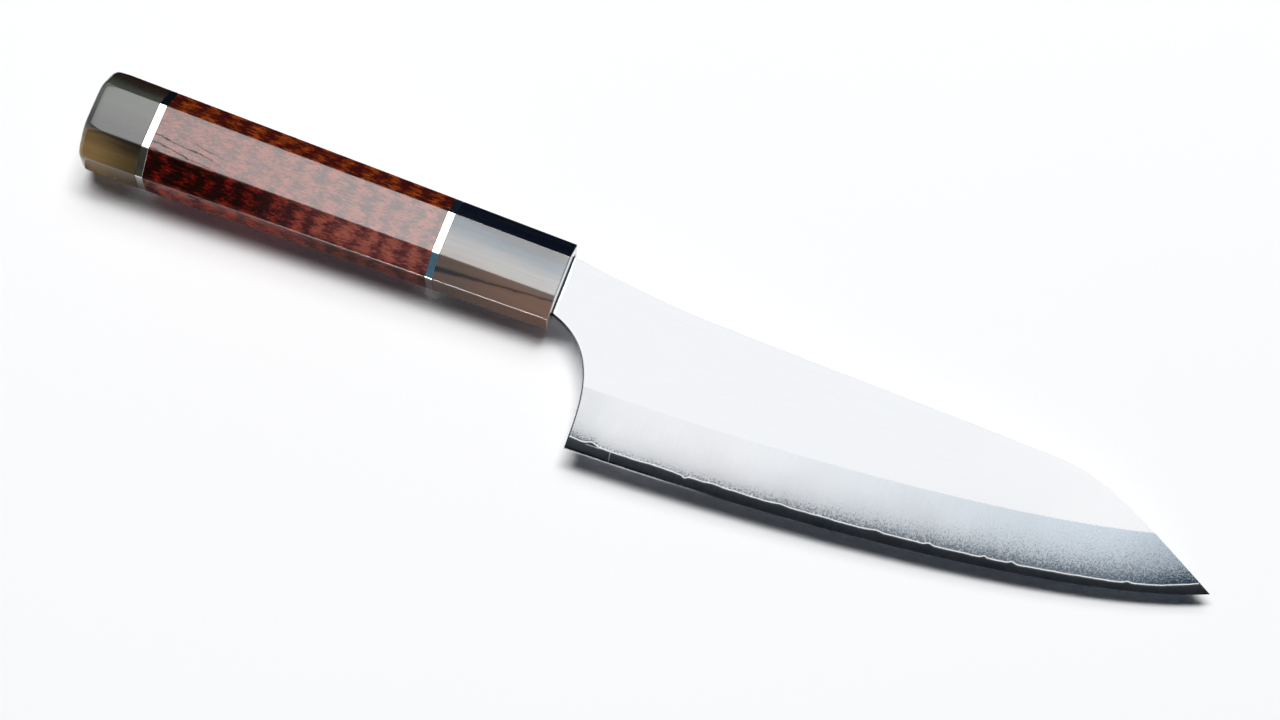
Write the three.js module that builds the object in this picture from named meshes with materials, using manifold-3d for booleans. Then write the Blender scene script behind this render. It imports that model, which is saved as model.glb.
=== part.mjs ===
// A bunka kitchen knife with an octagonal hidden-tang handle, lying on its left side.
//
// Millimetres. Every piece is drawn in the knife's own frame: X runs from the ferrule's front
// face to the tip, Y from the cutting edge up to the spine, and Z out of the blade's right side.
// The blade's middle plane and the handle's axis are at Z = 0. At the end the knife is laid on
// the handle's left side facet, with its origin under the middle of its box.

import * as THREE from "three";
import { mergeVertices } from "three/addons/utils/BufferGeometryUtils.js";
import Module from "manifold-3d";

// Handle blocks, along the handle
const BUTT_CAP_LENGTH = 17;
const SPACER_THICKNESS = 2.1;
const GRIP_LENGTH = 80.6;
const FERRULE_LENGTH = 32.8;

// Handle octagon at the butt and at the ferrule's face: its height from edge to spine, its width
// from side to side, and what the corner facets take off each end of the two
const BUTT_HEIGHT = 26.4;
const BUTT_WIDTH = 24.4;
const BUTT_CORNER_HEIGHT = 6.65;
const BUTT_CORNER_WIDTH = 6.7;
const FACE_HEIGHT = 22.6;
const FACE_WIDTH = 18.8;
const FACE_CORNER_HEIGHT = 5.5;
const FACE_CORNER_WIDTH = 4.9;

// Handle ends: rounded rims and a slightly crowned butt
const BUTT_RIM_RADIUS = 1.5;
const BUTT_CROWN = 0.8;
const FACE_RIM_RADIUS = 0.3;

// Inside the handle: a dowel strings the blocks together, and a saw kerf in it takes the tang
const DOWEL_DIAMETER = 13;
const DOWEL_SEAT = 8;
const FERRULE_FRONT_WALL = 10;
const TANG_COVER = 0.6;
const TANG_STOP = 16;
const TANG_END_HEIGHT = 8;
const TANG_END_THICKNESS = 2.3;
const BEDDING_WALL = 0.5;
const BEDDING_END = 2;
const GLUE_LINE = 0.05;

// Tang slot in the ferrule's face: its clearance beside the neck, and above and below it
const SLOT_SIDE_CLEARANCE = 0.75;
const SLOT_END_CLEARANCE = 0.9;

// Blade outline: reach forward of the ferrule's face, and height above or drop below the axis
const NECK_TOP = 8.8;
const NECK_DROP = 8.1;
const HEEL_REACH = 16.05;
const HEEL_DROP = 41.6;
const BEND_REACH = 138;
const BEND_HEIGHT = 2.4;
const TIP_REACH = 188.4;
const TIP_DROP = 18.5;

// Blade outline: each curve's heading at its ends, in degrees above +X, and how far the curve is
// pulled along that heading
const SPINE_NECK_HEADING = -8.5;
const SPINE_NECK_PULL = 40;
const SPINE_BEND_HEADING = -1.7;
const SPINE_BEND_PULL = 95;
const POINT_BEND_PULL = 15.3;
const POINT_TIP_HEADING = -29.6;
const POINT_TIP_PULL = 31;
const EDGE_HEEL_HEADING = 0.8;
const EDGE_HEEL_PULL = 37.2;
const EDGE_TIP_HEADING = 23.7;
const EDGE_TIP_PULL = 42.6;
const CHOIL_HEEL_HEADING = 92.5;
const CHOIL_HEEL_PULL = 9.8;
const CHOIL_NECK_HEADING = 163.4;
const CHOIL_NECK_PULL = 18;

// Blade section: flat sides that thin towards the tip and the edge, then a swelling bevel down to
// the edge. The core shows below the lamination line, and a weld gap parts it from the cladding.
const NECK_THICKNESS = 2.9;
const TIP_THICKNESS = 0.7;
const SHOULDER_THICKNESS = 2.1;
const BEVEL_HEEL_HEIGHT = 17.7;
const BEVEL_TIP_HEIGHT = 16.8;
const BEVEL_SWELL = 0.3;
const EDGE_LAND = 0.06;
const CORE_EXPOSURE = 3;
const WELD_GAP = 0.02;

// Fineness of the curved stretches
const RIM_STEPS = 3;
const CROWN_STEPS = 3;
const ROUND_SIDES = 32;
const CURVE_STEPS = 24;
const BEVEL_STEPS = 6;
const BLADE_STATIONS = 28;
const BISECTIONS = 40;

// How far a cutting shape runs past what it cuts
const OVERCUT = 3;

// What the pieces are made of
const CORE_STEEL = { color: 0x2b2f35, roughness: 0.18, metalness: 1 };
const CLADDING_STEEL = { color: 0xdfe4ee, roughness: 0.32, metalness: 1 };
const HORN = { color: 0x5c5850, roughness: 0.12, metalness: 0 };
const NICKEL_SILVER = { color: 0xd9d8d2, roughness: 0.14, metalness: 1 };
const SNAKEWOOD = { color: 0x6b1f10, roughness: 0.14, metalness: 0 };
const DOWEL_WOOD = { color: 0xcbb386, roughness: 0.6, metalness: 0 };
const BEDDING_RESIN = { color: 0x4a3a20, roughness: 0.4, metalness: 0 };

// Places along X, from the ferrule's face back to the butt
const FERRULE_REAR = -FERRULE_LENGTH;
const GRIP_FRONT = FERRULE_REAR - SPACER_THICKNESS;
const GRIP_REAR = GRIP_FRONT - GRIP_LENGTH;
const CAP_FRONT = GRIP_REAR - SPACER_THICKNESS;
const BUTT_END = CAP_FRONT - BUTT_CAP_LENGTH;
const DOWEL_FRONT = -FERRULE_FRONT_WALL;
const DOWEL_REAR = CAP_FRONT - DOWEL_SEAT;
const TANG_END = DOWEL_REAR + TANG_STOP;
const KERF_END = TANG_END - BEDDING_END;

// Sizes that follow from the ones above
const DOWEL_RADIUS = DOWEL_DIAMETER / 2;
const BORE_RADIUS = DOWEL_RADIUS + GLUE_LINE;
const TANG_ROOT_HEIGHT = DOWEL_DIAMETER - 2 * TANG_COVER;
const KERF_WIDTH = NECK_THICKNESS + 2 * (BEDDING_WALL + 2 * GLUE_LINE);
const HEEL_FLAT_THICKNESS = THREE.MathUtils.lerp(NECK_THICKNESS, TIP_THICKNESS, HEEL_REACH / TIP_REACH);
const HEIGHT_TAPER = (HEEL_FLAT_THICKNESS - SHOULDER_THICKNESS) / (HEEL_DROP - BEVEL_HEEL_HEIGHT);
const SECTION_TOP = NECK_TOP + OVERCUT;
const LAYING_ANGLE = Math.atan2((BUTT_WIDTH - FACE_WIDTH) / 2, -BUTT_END);

const wasm = await Module();
wasm.setup();

// The closed solid of a geometry, its shared corners merged.
function solid(geometry) {
  const bare = new THREE.BufferGeometry();
  bare.setAttribute("position", geometry.getAttribute("position"));
  bare.setIndex(geometry.getIndex());
  const merged = mergeVertices(bare);
  const vertProperties = new Float32Array(merged.getAttribute("position").array);
  const triVerts = new Uint32Array(merged.getIndex().array);
  return new wasm.Manifold(new wasm.Mesh({ numProp: 3, vertProperties, triVerts }));
}

// The geometry of a solid's surface.
function surface(body) {
  const mesh = body.getMesh();
  const geometry = new THREE.BufferGeometry();
  geometry.setAttribute("position", new THREE.BufferAttribute(mesh.vertProperties, 3));
  geometry.setIndex(new THREE.BufferAttribute(mesh.triVerts, 1));
  geometry.computeVertexNormals();
  return geometry;
}

// A solid skinned over rings of equally many points. The rings follow each other along +X, each
// one is convex and turns from +Y towards +Z, and the first and last are closed with fans.
function skinned(rings) {
  const sides = rings[0].length;
  const last = (rings.length - 1) * sides;
  const triangles = [];
  for (let start = 0; start < last; start += sides) {
    for (let side = 0; side < sides; side += 1) {
      const here = start + side;
      const beside = start + ((side + 1) % sides);
      triangles.push(here, beside, here + sides);
      triangles.push(beside, beside + sides, here + sides);
    }
  }
  for (let side = 1; side + 1 < sides; side += 1) {
    triangles.push(0, side + 1, side);
    triangles.push(last, last + side, last + side + 1);
  }
  const geometry = new THREE.BufferGeometry().setFromPoints(rings.flat());
  geometry.setIndex(triangles);
  return solid(geometry);
}

// A round rod along the handle's axis, from one X to another.
function rod(rear, front, radius, sides) {
  const geometry = new THREE.CylinderGeometry(radius, radius, front - rear, sides);
  geometry.rotateZ(-Math.PI / 2);
  geometry.translate((rear + front) / 2, 0, 0);
  return solid(geometry);
}

// A box between two X and two Y, and as far to each side of Z = 0.
function slab(rear, front, bottom, top, width) {
  const geometry = new THREE.BoxGeometry(front - rear, top - bottom, width);
  geometry.translate((rear + front) / 2, (bottom + top) / 2, 0);
  return solid(geometry);
}

// The handle's octagon at X, its facets moved in by an inset.
function octagon(x, inset = 0) {
  const forward = (x - BUTT_END) / -BUTT_END;
  const halfHeight = THREE.MathUtils.lerp(BUTT_HEIGHT, FACE_HEIGHT, forward) / 2;
  const halfWidth = THREE.MathUtils.lerp(BUTT_WIDTH, FACE_WIDTH, forward) / 2;
  const cornerHeight = THREE.MathUtils.lerp(BUTT_CORNER_HEIGHT, FACE_CORNER_HEIGHT, forward);
  const cornerWidth = THREE.MathUtils.lerp(BUTT_CORNER_WIDTH, FACE_CORNER_WIDTH, forward);
  const slope = Math.hypot(cornerHeight, cornerWidth);
  const heightLoss = (inset * (slope - cornerHeight)) / cornerWidth;
  const widthLoss = (inset * (slope - cornerWidth)) / cornerHeight;
  const y = halfHeight - inset;
  const z = halfWidth - inset;
  const sideY = halfHeight - cornerHeight - heightLoss;
  const spineZ = halfWidth - cornerWidth - widthLoss;
  const quarter = [[y, spineZ], [sideY, z]];
  const upper = [...quarter, ...quarter.map(([py, pz]) => [-py, pz]).reverse()];
  const lower = upper.map(([py, pz]) => [-py, -pz]);
  return [...upper, ...lower].map(([py, pz]) => new THREE.Vector3(x, py, pz));
}

// Rings that round off the rim of an end of the handle: a quarter turn of the rim's radius.
function rimRings(endX, inward, radius) {
  const rings = [];
  for (let step = 0; step <= RIM_STEPS; step += 1) {
    const turn = ((step / RIM_STEPS) * Math.PI) / 2;
    const x = endX + inward * radius * (1 - Math.sin(turn));
    rings.push(octagon(x, radius * (1 - Math.cos(turn))));
  }
  return rings;
}

// Rings that close the butt inside its rim with a shallow crown, down to a small flat.
function crownRings(rimRing) {
  const rings = [];
  for (let step = 1; step <= CROWN_STEPS; step += 1) {
    const reach = 1 - step / (CROWN_STEPS + 1);
    const rise = BUTT_CROWN * (1 - reach * reach);
    rings.push(rimRing.map((point) => new THREE.Vector3(point.x - rise, point.y * reach, point.z * reach)));
  }
  return rings;
}

// A block of the handle between two glue lines, bored through for the dowel.
function handleBlock(rear, front) {
  const block = skinned([octagon(rear + GLUE_LINE / 2), octagon(front - GLUE_LINE / 2)]);
  return block.subtract(rod(rear - OVERCUT, front + OVERCUT, BORE_RADIUS, ROUND_SIDES));
}

// The ferrule: rounded at its face, slotted for the tang and bored from behind for the dowel.
function ferrule() {
  const block = skinned([octagon(FERRULE_REAR + GLUE_LINE / 2), ...rimRings(0, -1, FACE_RIM_RADIUS)]);
  const bore = rod(FERRULE_REAR - OVERCUT, DOWEL_FRONT, BORE_RADIUS, ROUND_SIDES);
  const slotTop = NECK_TOP + SLOT_END_CLEARANCE;
  const slotBottom = -NECK_DROP - SLOT_END_CLEARANCE;
  const slotWidth = NECK_THICKNESS + 2 * SLOT_SIDE_CLEARANCE;
  const slot = slab(DOWEL_FRONT - GLUE_LINE, OVERCUT, slotBottom, slotTop, slotWidth);
  return block.subtract(bore).subtract(slot);
}

// The butt cap: a crowned end with a rounded rim, bored from the front for the dowel's end.
function buttCap() {
  const rim = rimRings(BUTT_END + BUTT_CROWN, 1, BUTT_RIM_RADIUS);
  const end = [...rim, ...crownRings(rim[RIM_STEPS])].reverse();
  const block = skinned([...end, octagon(CAP_FRONT - GLUE_LINE / 2)]);
  return block.subtract(rod(DOWEL_REAR - GLUE_LINE, CAP_FRONT + OVERCUT, BORE_RADIUS, ROUND_SIDES));
}

// The dowel, forked by the saw kerf that takes the tang and its bedding.
function coreDowel() {
  const dowel = rod(DOWEL_REAR, DOWEL_FRONT - GLUE_LINE, DOWEL_RADIUS, ROUND_SIDES);
  const kerf = slab(KERF_END, DOWEL_FRONT + OVERCUT, -DOWEL_DIAMETER, DOWEL_DIAMETER, KERF_WIDTH);
  return dowel.subtract(kerf);
}

// The bedding: the kerf's fill inside the dowel's round, with the tang's own room left out.
function tangBedding() {
  const rear = KERF_END + GLUE_LINE;
  const round = rod(rear, DOWEL_FRONT - GLUE_LINE, DOWEL_RADIUS, ROUND_SIDES);
  const kerf = slab(rear - OVERCUT, 0, -DOWEL_DIAMETER, DOWEL_DIAMETER, KERF_WIDTH - 2 * GLUE_LINE);
  const room = skinned([tangRoom(TANG_END - GLUE_LINE), tangRoom(DOWEL_FRONT + OVERCUT)]);
  return round.intersect(kerf).subtract(room);
}

// The room that the tang takes in its bedding at X, a glue line larger all round.
function tangRoom(x) {
  const forward = (x - TANG_END) / (DOWEL_FRONT - TANG_END);
  const top = THREE.MathUtils.lerp(TANG_END_HEIGHT, TANG_ROOT_HEIGHT, forward) / 2 + GLUE_LINE;
  const topZ = flatHalf(x, top) + GLUE_LINE;
  const bottomZ = flatHalf(x, -top) + GLUE_LINE;
  const corners = [[top, -topZ], [top, topZ], [-top, bottomZ], [-top, -bottomZ]];
  return corners.map(([y, z]) => new THREE.Vector3(x, y, z));
}

// A curve in the blade's plane that leaves one point and reaches another on given headings.
function pulledCurve(start, startHeading, startPull, end, endHeading, endPull) {
  const centre = new THREE.Vector2();
  const leave = new THREE.Vector2(startPull, 0).rotateAround(centre, THREE.MathUtils.degToRad(startHeading));
  const arrive = new THREE.Vector2(endPull, 0).rotateAround(centre, THREE.MathUtils.degToRad(endHeading));
  return new THREE.CubicBezierCurve(start, leave.add(start), end.clone().sub(arrive), end);
}

const NECK = new THREE.Vector2(0, NECK_TOP);
const BEND = new THREE.Vector2(BEND_REACH, BEND_HEIGHT);
const TIP = new THREE.Vector2(TIP_REACH, -TIP_DROP);
const HEEL = new THREE.Vector2(HEEL_REACH, -HEEL_DROP);
const NECK_FOOT = new THREE.Vector2(0, -NECK_DROP);
const SPINE = pulledCurve(
  NECK, SPINE_NECK_HEADING, SPINE_NECK_PULL, BEND, SPINE_BEND_HEADING, SPINE_BEND_PULL,
);
const POINT = pulledCurve(
  BEND, SPINE_BEND_HEADING, POINT_BEND_PULL, TIP, POINT_TIP_HEADING, POINT_TIP_PULL,
);
const EDGE = pulledCurve(
  HEEL, EDGE_HEEL_HEADING, EDGE_HEEL_PULL, TIP, EDGE_TIP_HEADING, EDGE_TIP_PULL,
);
const CHOIL = pulledCurve(
  HEEL, CHOIL_HEEL_HEADING, CHOIL_HEEL_PULL, NECK_FOOT, CHOIL_NECK_HEADING, CHOIL_NECK_PULL,
);

// The cutting edge's Y at X, carried on straight past the heel and the tip.
function edgeHeight(x) {
  if (x < HEEL.x) {
    return HEEL.y + (x - HEEL.x) * Math.tan(THREE.MathUtils.degToRad(EDGE_HEEL_HEADING));
  }
  if (x > TIP.x) {
    return TIP.y + (x - TIP.x) * Math.tan(THREE.MathUtils.degToRad(EDGE_TIP_HEADING));
  }
  let low = 0;
  let high = 1;
  for (let step = 0; step < BISECTIONS; step += 1) {
    const middle = (low + high) / 2;
    if (EDGE.getPoint(middle).x < x) {
      low = middle;
    } else {
      high = middle;
    }
  }
  return EDGE.getPoint(low).y;
}

// Half the thickness between the flat sides: full at the neck, thinner to the tip, to the tang's
// end and down towards the edge.
function flatHalf(x, y) {
  const along = x < 0
    ? THREE.MathUtils.lerp(NECK_THICKNESS, TANG_END_THICKNESS, x / TANG_END)
    : THREE.MathUtils.lerp(NECK_THICKNESS, TIP_THICKNESS, x / TIP_REACH);
  return (along + HEIGHT_TAPER * y) / 2;
}

// The bevel's height above the edge at X: it comes down a little towards the tip.
function bevelHeight(x) {
  const forward = (x - HEEL_REACH) / (TIP_REACH - HEEL_REACH);
  return THREE.MathUtils.lerp(BEVEL_HEEL_HEIGHT, BEVEL_TIP_HEIGHT, forward);
}

// Half the thickness of the bevel at a rise above the edge.
function bevelHalf(x, rise) {
  const shoulder = flatHalf(x, edgeHeight(x) + bevelHeight(x));
  const share = rise / bevelHeight(x);
  const swell = share * (1 + BEVEL_SWELL * (1 - share));
  return THREE.MathUtils.lerp(EDGE_LAND / 2, shoulder, swell);
}

// The rise above the edge at which the bevel has a given half thickness.
function bevelRise(x, half) {
  const shoulder = flatHalf(x, edgeHeight(x) + bevelHeight(x));
  const swell = (half - EDGE_LAND / 2) / (shoulder - EDGE_LAND / 2);
  const slope = 1 + BEVEL_SWELL;
  const share = (slope - Math.sqrt(slope * slope - 4 * BEVEL_SWELL * swell)) / (2 * BEVEL_SWELL);
  return share * bevelHeight(x);
}

// Points down the right side of the bevel at X, from one rise above the edge to a lower one.
function bevelPoints(x, fromRise, toRise) {
  const points = [];
  for (let step = 0; step <= BEVEL_STEPS; step += 1) {
    const rise = THREE.MathUtils.lerp(fromRise, toRise, step / BEVEL_STEPS);
    points.push(new THREE.Vector3(x, edgeHeight(x) + rise, bevelHalf(x, rise)));
  }
  return points;
}

// The same points on the blade's other side, in the opposite order.
function mirrored(points) {
  return points.map((point) => new THREE.Vector3(point.x, point.y, -point.z)).reverse();
}

// The core's section at X: two parallel sides, and below the lamination line the bevel itself.
function coreRing(x) {
  const half = bevelHalf(x, CORE_EXPOSURE);
  const right = [new THREE.Vector3(x, SECTION_TOP, half), ...bevelPoints(x, CORE_EXPOSURE, 0)];
  return [...mirrored(right).slice(-1), ...right, ...mirrored(right).slice(0, -1)];
}

// The right cladding's section at X: from the weld out to the flat, down it, and down the bevel
// to a thin edge at the lamination line.
function claddingRing(x) {
  const inner = bevelHalf(x, CORE_EXPOSURE) + WELD_GAP;
  const outside = [
    new THREE.Vector3(x, SECTION_TOP, flatHalf(x, SECTION_TOP)),
    ...bevelPoints(x, bevelHeight(x), bevelRise(x, inner)),
  ];
  return [new THREE.Vector3(x, SECTION_TOP, inner), ...outside];
}

// The blade's outline with its tang, as a plate wider than the blade is thick. Along the edge the
// plate runs on below it, because the sections end at the edge by themselves.
function outlinePlate() {
  const past = POINT.getTangent(1).multiplyScalar(OVERCUT).add(TIP);
  const shape = new THREE.Shape();
  shape.moveTo(TANG_END, -TANG_END_HEIGHT / 2);
  shape.lineTo(DOWEL_FRONT, -TANG_ROOT_HEIGHT / 2);
  shape.lineTo(NECK_FOOT.x, NECK_FOOT.y);
  shape.bezierCurveTo(CHOIL.v2.x, CHOIL.v2.y, CHOIL.v1.x, CHOIL.v1.y, HEEL.x, HEEL.y);
  shape.lineTo(HEEL.x, HEEL.y - OVERCUT);
  shape.lineTo(past.x, HEEL.y - OVERCUT);
  shape.lineTo(past.x, past.y);
  shape.lineTo(TIP.x, TIP.y);
  shape.bezierCurveTo(POINT.v2.x, POINT.v2.y, POINT.v1.x, POINT.v1.y, BEND.x, BEND.y);
  shape.bezierCurveTo(SPINE.v2.x, SPINE.v2.y, SPINE.v1.x, SPINE.v1.y, NECK.x, NECK.y);
  shape.lineTo(DOWEL_FRONT, TANG_ROOT_HEIGHT / 2);
  shape.lineTo(TANG_END, TANG_END_HEIGHT / 2);
  shape.closePath();
  const depth = 2 * NECK_THICKNESS;
  const plate = new THREE.ExtrudeGeometry(shape, { depth, bevelEnabled: false, curveSegments: CURVE_STEPS });
  plate.translate(0, 0, -depth / 2);
  return solid(plate);
}

// A layer of the blade: its section carried from the tang's end to past the tip, then cut to the
// outline.
function bladeLayer(ringAt) {
  const rings = [ringAt(TANG_END - OVERCUT)];
  for (let station = 0; station <= BLADE_STATIONS; station += 1) {
    rings.push(ringAt((station / BLADE_STATIONS) * (TIP_REACH + OVERCUT)));
  }
  return skinned(rings).intersect(outlinePlate());
}

// A named mesh with its own material.
function piece(name, body, finish) {
  const mesh = new THREE.Mesh(surface(body), new THREE.MeshStandardMaterial(finish));
  mesh.name = name;
  return mesh;
}

const leftCladdingRing = (x) => mirrored(claddingRing(x));

const knife = new THREE.Group();
knife.add(
  piece("blade_core", bladeLayer(coreRing), CORE_STEEL),
  piece("blade_cladding_right", bladeLayer(claddingRing), CLADDING_STEEL),
  piece("blade_cladding_left", bladeLayer(leftCladdingRing), CLADDING_STEEL),
  piece("ferrule", ferrule(), HORN),
  piece("front_spacer", handleBlock(GRIP_FRONT, FERRULE_REAR), NICKEL_SILVER),
  piece("handle_body", handleBlock(GRIP_REAR, GRIP_FRONT), SNAKEWOOD),
  piece("rear_spacer", handleBlock(CAP_FRONT, GRIP_REAR), NICKEL_SILVER),
  piece("butt_cap", buttCap(), HORN),
  piece("core_dowel", coreDowel(), DOWEL_WOOD),
  piece("tang_bedding", tangBedding(), BEDDING_RESIN),
);

// The handle tapers, so the knife is tipped until its left side facet lies level.
knife.rotation.y = LAYING_ANGLE;
const part = new THREE.Group();
part.add(knife);
const box = new THREE.Box3().setFromObject(part, true);
const middle = box.getCenter(new THREE.Vector3());
knife.position.set(-middle.x, -middle.y, -box.min.z);

export default part;
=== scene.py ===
"""A bunka knife lying on its left side on a pale floor.

Sizes are millimetres in the knife's own frame: X runs from the ferrule's front face to the tip, Y from
the cutting edge up to the spine, and Z out of the blade's right side. placed() turns them into the
frame's metres.
"""

import math

import bpy
import numpy as np
from mathutils import Matrix, Vector


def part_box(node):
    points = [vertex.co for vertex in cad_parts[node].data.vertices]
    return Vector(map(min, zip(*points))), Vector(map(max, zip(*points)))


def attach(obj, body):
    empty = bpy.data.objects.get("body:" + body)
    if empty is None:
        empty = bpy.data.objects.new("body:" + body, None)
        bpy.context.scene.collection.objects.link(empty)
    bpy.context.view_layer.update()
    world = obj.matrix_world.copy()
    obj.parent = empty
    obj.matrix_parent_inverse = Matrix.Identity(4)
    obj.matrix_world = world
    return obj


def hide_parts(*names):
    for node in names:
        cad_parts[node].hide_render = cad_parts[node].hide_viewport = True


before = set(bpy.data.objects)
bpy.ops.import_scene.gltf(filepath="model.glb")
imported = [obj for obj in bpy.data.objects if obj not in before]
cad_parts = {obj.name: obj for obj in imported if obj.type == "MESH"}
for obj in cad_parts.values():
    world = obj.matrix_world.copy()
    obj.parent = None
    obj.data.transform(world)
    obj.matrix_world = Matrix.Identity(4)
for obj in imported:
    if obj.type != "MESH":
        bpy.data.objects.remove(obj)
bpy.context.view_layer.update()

# Handle blocks, along the handle
BUTT_CAP_LENGTH = 17.0
SPACER_THICKNESS = 2.1
GRIP_LENGTH = 80.6
FERRULE_LENGTH = 32.8

# Handle octagon at the butt and at the ferrule's face
BUTT_HEIGHT = 26.4
BUTT_WIDTH = 24.4
BUTT_CORNER_HEIGHT = 6.65
BUTT_CORNER_WIDTH = 6.7
FACE_HEIGHT = 22.6
FACE_WIDTH = 18.8
FACE_CORNER_HEIGHT = 5.5
FACE_CORNER_WIDTH = 4.9

# Handle finish: eased ridges, slightly crowned facets, rounded ends
RIDGE_RADIUS = 0.4
FACET_CROWN = 0.02
JOINT_EASE = 0.06
BUTT_RIM_RADIUS = 2.0
BUTT_CROWN = 0.15
BUTT_RIDGE_RADIUS = 6.0
BUTT_SOFT_LENGTH = 6.0
FACE_RIM_RADIUS = 0.3

# Inside the handle
DOWEL_DIAMETER = 13.0
DOWEL_SEAT = 8.0
FERRULE_FRONT_WALL = 10.0
TANG_COVER = 0.6
TANG_STOP = 16.0
TANG_END_HEIGHT = 8.0
TANG_END_THICKNESS = 2.3
GLUE_LINE = 0.05

# Tang slot in the ferrule's face
SLOT_SIDE_CLEARANCE = 0.75
SLOT_END_CLEARANCE = 0.9
SLOT_EASE = 0.1

# Blade outline
NECK_TOP = 8.8
NECK_DROP = 8.1
HEEL_REACH = 16.05
HEEL_DROP = 41.6
BEND_REACH = 138.0
BEND_HEIGHT = 2.4
TIP_REACH = 188.4
TIP_DROP = 18.5
SPINE_NECK_HEADING = -8.5
SPINE_NECK_PULL = 40.0
SPINE_BEND_HEADING = -1.7
SPINE_BEND_PULL = 95.0
POINT_BEND_PULL = 15.3
POINT_TIP_HEADING = -29.6
POINT_TIP_PULL = 31.0
EDGE_HEEL_HEADING = 0.8
EDGE_HEEL_PULL = 37.2
EDGE_TIP_HEADING = 23.7
EDGE_TIP_PULL = 42.6
CHOIL_HEEL_HEADING = 92.5
CHOIL_HEEL_PULL = 9.8
CHOIL_NECK_HEADING = 163.4
CHOIL_NECK_PULL = 18.0

# Blade section
NECK_THICKNESS = 2.9
TIP_THICKNESS = 0.7
SHOULDER_THICKNESS = 2.1
BEVEL_HEEL_HEIGHT = 17.7
BEVEL_TIP_HEIGHT = 16.8
BEVEL_SWELL = 0.3
EDGE_LAND = 0.06
WELD_GAP = 0.004
ARRIS_RADIUS = 0.15
SHOULDER_CRISP = 0.2
HONED_LAND = 0.006
HONED_SLOPE = 0.17
HONED_REACH = (40.0, 62.0)
TIP_ROUND = 0.02

# Lamination line: its rise above the edge at the heel, before the tip and at the tip, its kinks, each with
# its place, height and half width along the edge, and the low ridge that marks it, by height and width
LINE_HEEL_RISE = 3.25
LINE_FORE_RISE = 2.05
LINE_FORE_REACH = 172.0
LINE_TIP_RISE = 3.7
LINE_KINKS = (
    (17.0, 0.3, 2.0), (22.5, 0.85, 1.6), (42.0, 0.2, 5.0), (48.6, -0.55, 0.7), (56.5, 0.25, 2.2),
    (74.6, 0.22, 2.2), (100.7, 0.33, 1.6), (114.9, 0.5, 1.1), (129.6, 0.45, 0.6), (136.9, 0.5, 0.9),
    (167.0, 0.35, 0.7),
)
LINE_RIDGE = 0.012
LINE_WIDTH = 0.36

# The line's waver: its height, and each sine's period and share of it
LINE_WAVER = 0.07
LINE_SINES = ((23.0, 0.5), (11.7, 0.45), (6.1, 0.4), (3.3, 0.25), (1.7, 0.14))

# The bevel's hazy band: how high it climbs above the line at the heel and at the tip, and from where it
# thickens towards the tip and painted shade darkens the whole bevel; the lengths by the heel and by the tip
# where the bevel darkens more
HAZE_CLIMB = (0.9, 5.2)
HAZE_AND_SHADE_START = 60.0
HEEL_HAZE = 11.0
TIP_DARKENING = 26.0

# Stray marks on the core: a hairline's place along the edge, and a short mark's place and rise
HAIRLINE_PLACE = 28.4
MARK_PLACE = 23.0
MARK_RISE = 3.05

# The grip's figure: the bars' spacing and the place of one of them along X. Then the fine checks by the
# rear spacer: their slant, height and distance apart, and how far forward they run
BAR_SPACING = 6.5
BAR_PLACE = -78.2
CHECK_SLANT = 0.13
CHECK_HEIGHT = -15.2
CHECK_APART = 1.1
CHECK_FRONT = -94.0

# The horn's dark layer: its height at the ferrule's face and its slope. Then how far behind the face the
# face's brighter polish begins and is full
LAYER_HEIGHT = -7.0
LAYER_SLOPE = 0.066
FACE_POLISH = (0.34, 0.2)

# Fineness: counts along the curves and round the rims, the face's rings by their share of the way to the
# slot, the lowest rows by their height above the line, and the angle in degrees past which an edge is sharp
CURVE_SAMPLES = 1200
TANG_STATIONS = 13
NECK_STATIONS = 48
BLADE_STATIONS = 430
BLOCK_STATIONS = 8
FERRULE_STATIONS = 6
CAP_STATIONS = 14
CROWN_RINGS = 8
FACE_RINGS = (0.35, 0.7)
LINE_ROWS = (0, 0.05, 0.11, 0.18, 0.26, 0.36, 0.5)
BEVEL_ROWS = 26
FLAT_ROWS = 12
CORE_ROWS = 10
ARRIS_STEPS = 4
RIDGE_STEPS = 6
FACET_STEPS = 6
RIM_STEPS = 10
SHARP_ANGLE = 28.0

# Photograph: the camera's angles and place in the knife's own frame, and its lens for a 36 mm sensor
VIEW_AZIMUTH = 15.3
VIEW_ELEVATION = 73.5
VIEW_ROLL = 5.3
VIEW_DISTANCE = 948.0
VIEW_TARGET = (26.4, -11.6, 0.0)
LENS = 100.2

# Light: the two lamps' places, sides and powers, the room's own light, and the floor's glow by the knife
# and what is added to it far off
KEY_PLACE = (-0.35, 0.82, 3.2)
KEY_SIZE = (2.2, 0.6)
KEY_POWER = 89.0
BACK_PLACE = (-0.35, 1.6, 3.2)
BACK_SIZE = (2.2, 1.5)
BACK_POWER = 45.0
ROOM_LIGHT = (0.012, 0.016, 0.027)
FLOOR_GLOW = 0.005
FAR_FLOOR_GLOW = 0.75

METRE = 0.001

# Places along X
FERRULE_REAR = -FERRULE_LENGTH
GRIP_FRONT = FERRULE_REAR - SPACER_THICKNESS
GRIP_REAR = GRIP_FRONT - GRIP_LENGTH
CAP_FRONT = GRIP_REAR - SPACER_THICKNESS
BUTT_END = CAP_FRONT - BUTT_CAP_LENGTH
DOWEL_FRONT = -FERRULE_FRONT_WALL
DOWEL_REAR = CAP_FRONT - DOWEL_SEAT
TANG_END = DOWEL_REAR + TANG_STOP

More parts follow.
